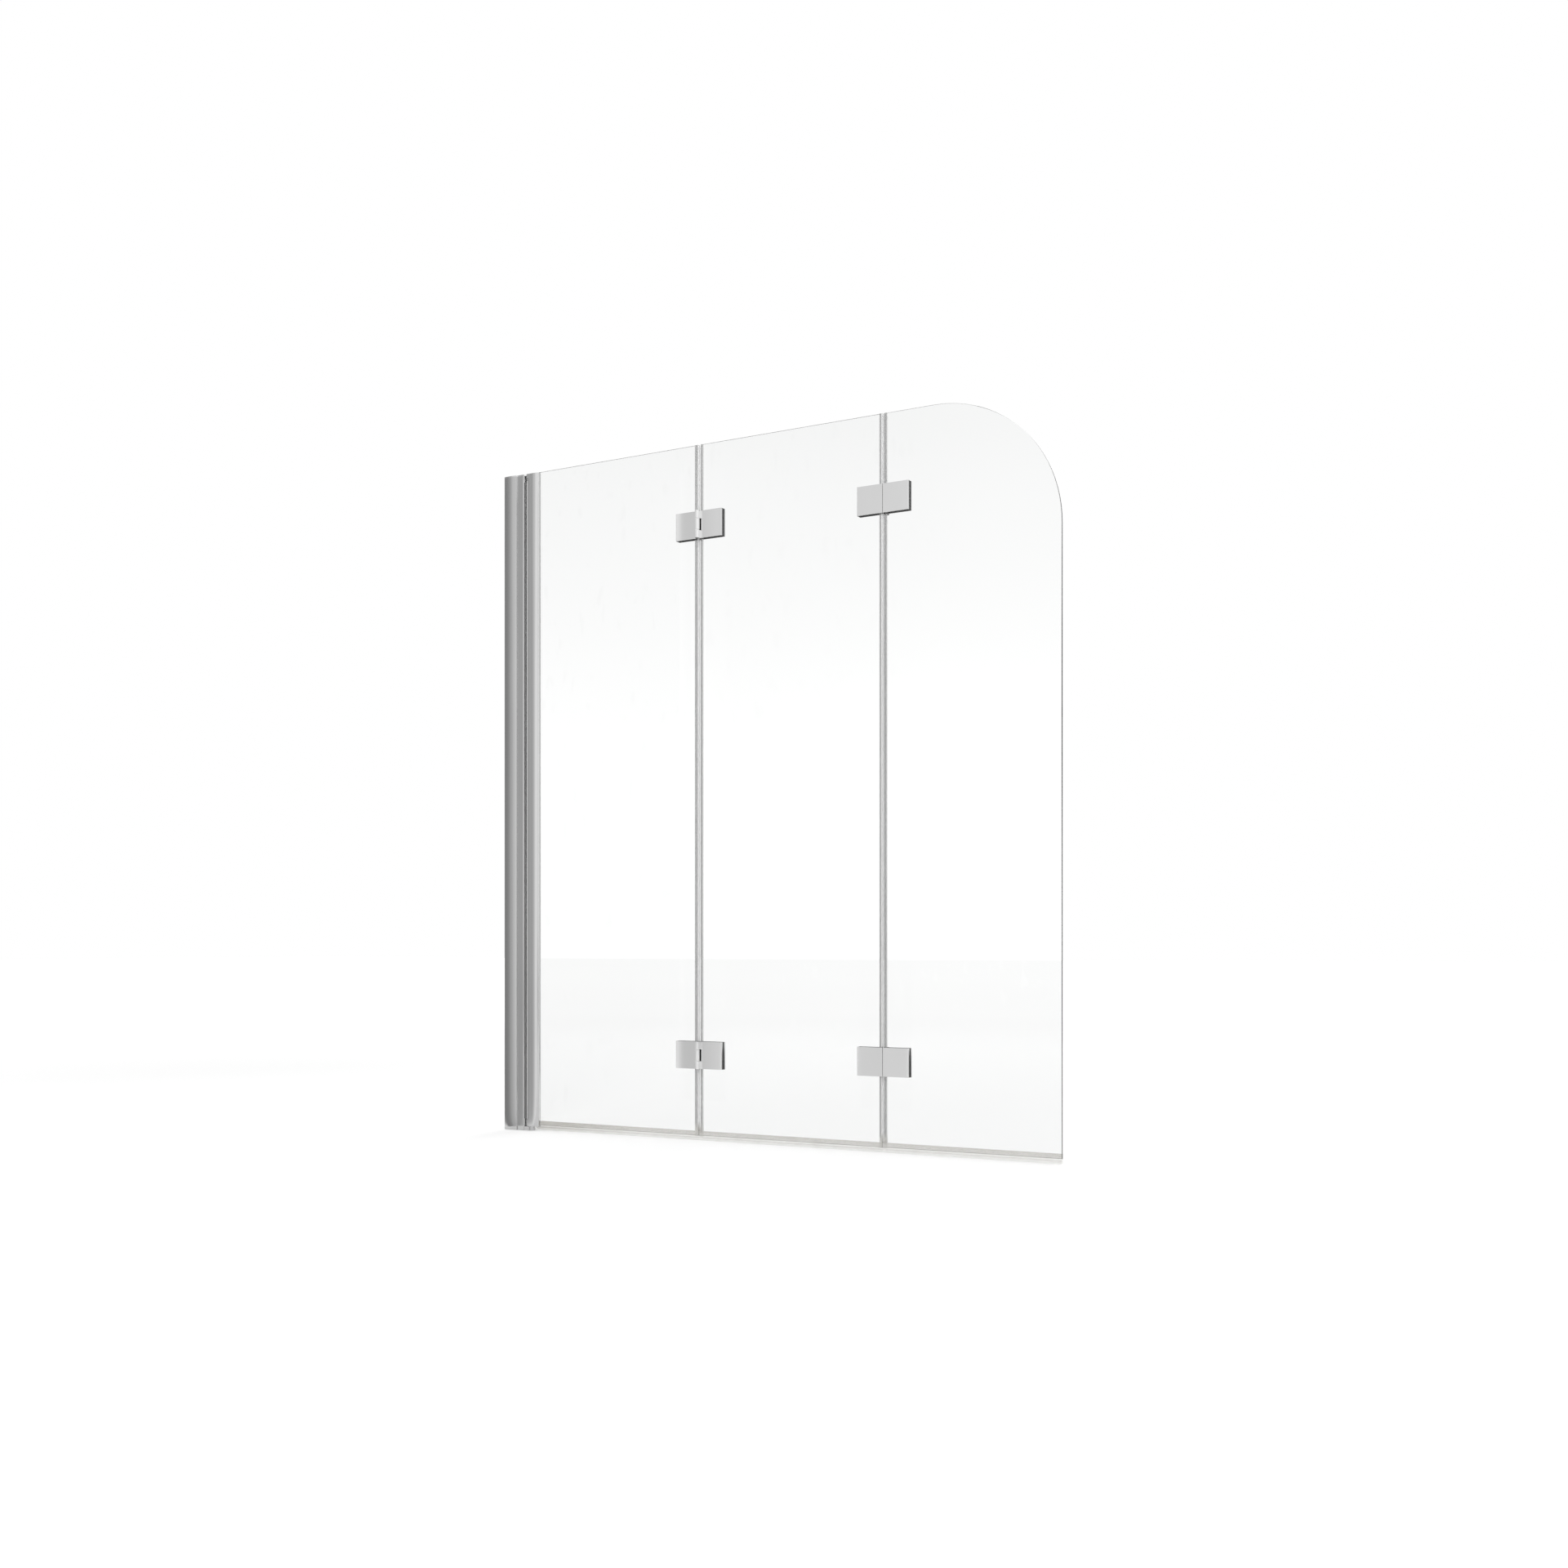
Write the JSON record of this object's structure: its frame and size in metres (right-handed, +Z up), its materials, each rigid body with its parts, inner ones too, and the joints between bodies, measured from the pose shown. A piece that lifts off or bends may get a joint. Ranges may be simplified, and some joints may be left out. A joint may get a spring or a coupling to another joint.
{
  "type": "folding bath screen",
  "caption": "Folding clear-glass bath screen on a wall channel and a pivoting profile, with glass-to-glass clamp hinges, clear seals and a large round free corner.",
  "frame": {"origin": "on the wall plane, at the bottom of the wall channel, which is the level of the bath rim, in the middle of the glass thickness", "axes": "+X away from the wall along the screen, +Y into the bath, +Z up"},
  "size_m": [1.25, 0.0369, 1.4015],
  "materials": {
    "polished_aluminium": "polished",
    "chrome_plate": "polished",
    "stainless_steel": "plain",
    "grey_plastic": "matt",
    "white_nylon": "matt",
    "black_gasket": "matt",
    "clear_seal": "translucent",
    "clear_glass": "polished"
  },
  "bodies": {
    "wall_side": {"wall_channel": "polished_aluminium", "channel_cap": "chrome_plate", "pivot_profile": "polished_aluminium", "fixing_screws": "stainless_steel", "fixing_screw_caps": "chrome_plate", "top_pivot_plate": "chrome_plate", "bottom_pivot_block": "polished_aluminium", "pivot_plate_screws": "stainless_steel", "pivot_pins": "stainless_steel", "gap_seal": "grey_plastic"},
    "panel_1": {"hinge_profile": "polished_aluminium", "hinge_end_blocks": "polished_aluminium", "hinge_profile_plugs": "grey_plastic", "pivot_bushes": "white_nylon", "glazing_gasket": "clear_seal", "glass_1": "clear_glass", "panel_1_edge_seal": "clear_seal", "bottom_seal_1": "clear_seal", "hinge_1_lower_left_knuckle_plate": "chrome_plate", "hinge_1_lower_left_clamp_plate": "chrome_plate", "hinge_1_upper_left_knuckle_plate": "chrome_plate", "hinge_1_upper_left_clamp_plate": "chrome_plate", "hinge_1_left_gaskets": "black_gasket", "hinge_1_left_screws": "stainless_steel", "hinge_1_pins": "stainless_steel"},
    "panel_2": {"glass_2": "clear_glass", "panel_2_left_seal": "clear_seal", "panel_2_right_seal": "clear_seal", "bottom_seal_2": "clear_seal", "hinge_1_lower_right_knuckle_plate": "chrome_plate", "hinge_1_lower_right_clamp_plate": "chrome_plate", "hinge_1_upper_right_knuckle_plate": "chrome_plate", "hinge_1_upper_right_clamp_plate": "chrome_plate", "hinge_1_right_gaskets": "black_gasket", "hinge_1_right_screws": "stainless_steel", "hinge_1_bushes": "white_nylon", "hinge_2_lower_left_knuckle_plate": "chrome_plate", "hinge_2_lower_left_clamp_plate": "chrome_plate", "hinge_2_upper_left_knuckle_plate": "chrome_plate", "hinge_2_upper_left_clamp_plate": "chrome_plate", "hinge_2_left_gaskets": "black_gasket", "hinge_2_left_screws": "stainless_steel", "hinge_2_pins": "stainless_steel"},
    "panel_3": {"glass_3": "clear_glass", "panel_3_edge_seal": "clear_seal", "bottom_seal_3": "clear_seal", "hinge_2_lower_right_knuckle_plate": "chrome_plate", "hinge_2_lower_right_clamp_plate": "chrome_plate", "hinge_2_upper_right_knuckle_plate": "chrome_plate", "hinge_2_upper_right_clamp_plate": "chrome_plate", "hinge_2_right_gaskets": "black_gasket", "hinge_2_right_screws": "stainless_steel", "hinge_2_bushes": "white_nylon"}
  },
  "joints": [
    {"name": "wall_pivot", "type": "hinge", "parent": "wall_side", "child": "panel_1", "pos_m": [0.062, 0, 0], "axis": [0, 0, 1], "range_deg": [0, 90]},
    {"name": "fold_1", "type": "hinge", "parent": "panel_1", "child": "panel_2", "pos_m": [0.4865, -0.013, 0], "axis": [0, 0, -1], "range_deg": [0, 180]},
    {"name": "fold_2", "type": "hinge", "parent": "panel_2", "child": "panel_3", "pos_m": [0.8965, 0.013, 0], "axis": [0, 0, 1], "range_deg": [0, 180]}
  ]
}
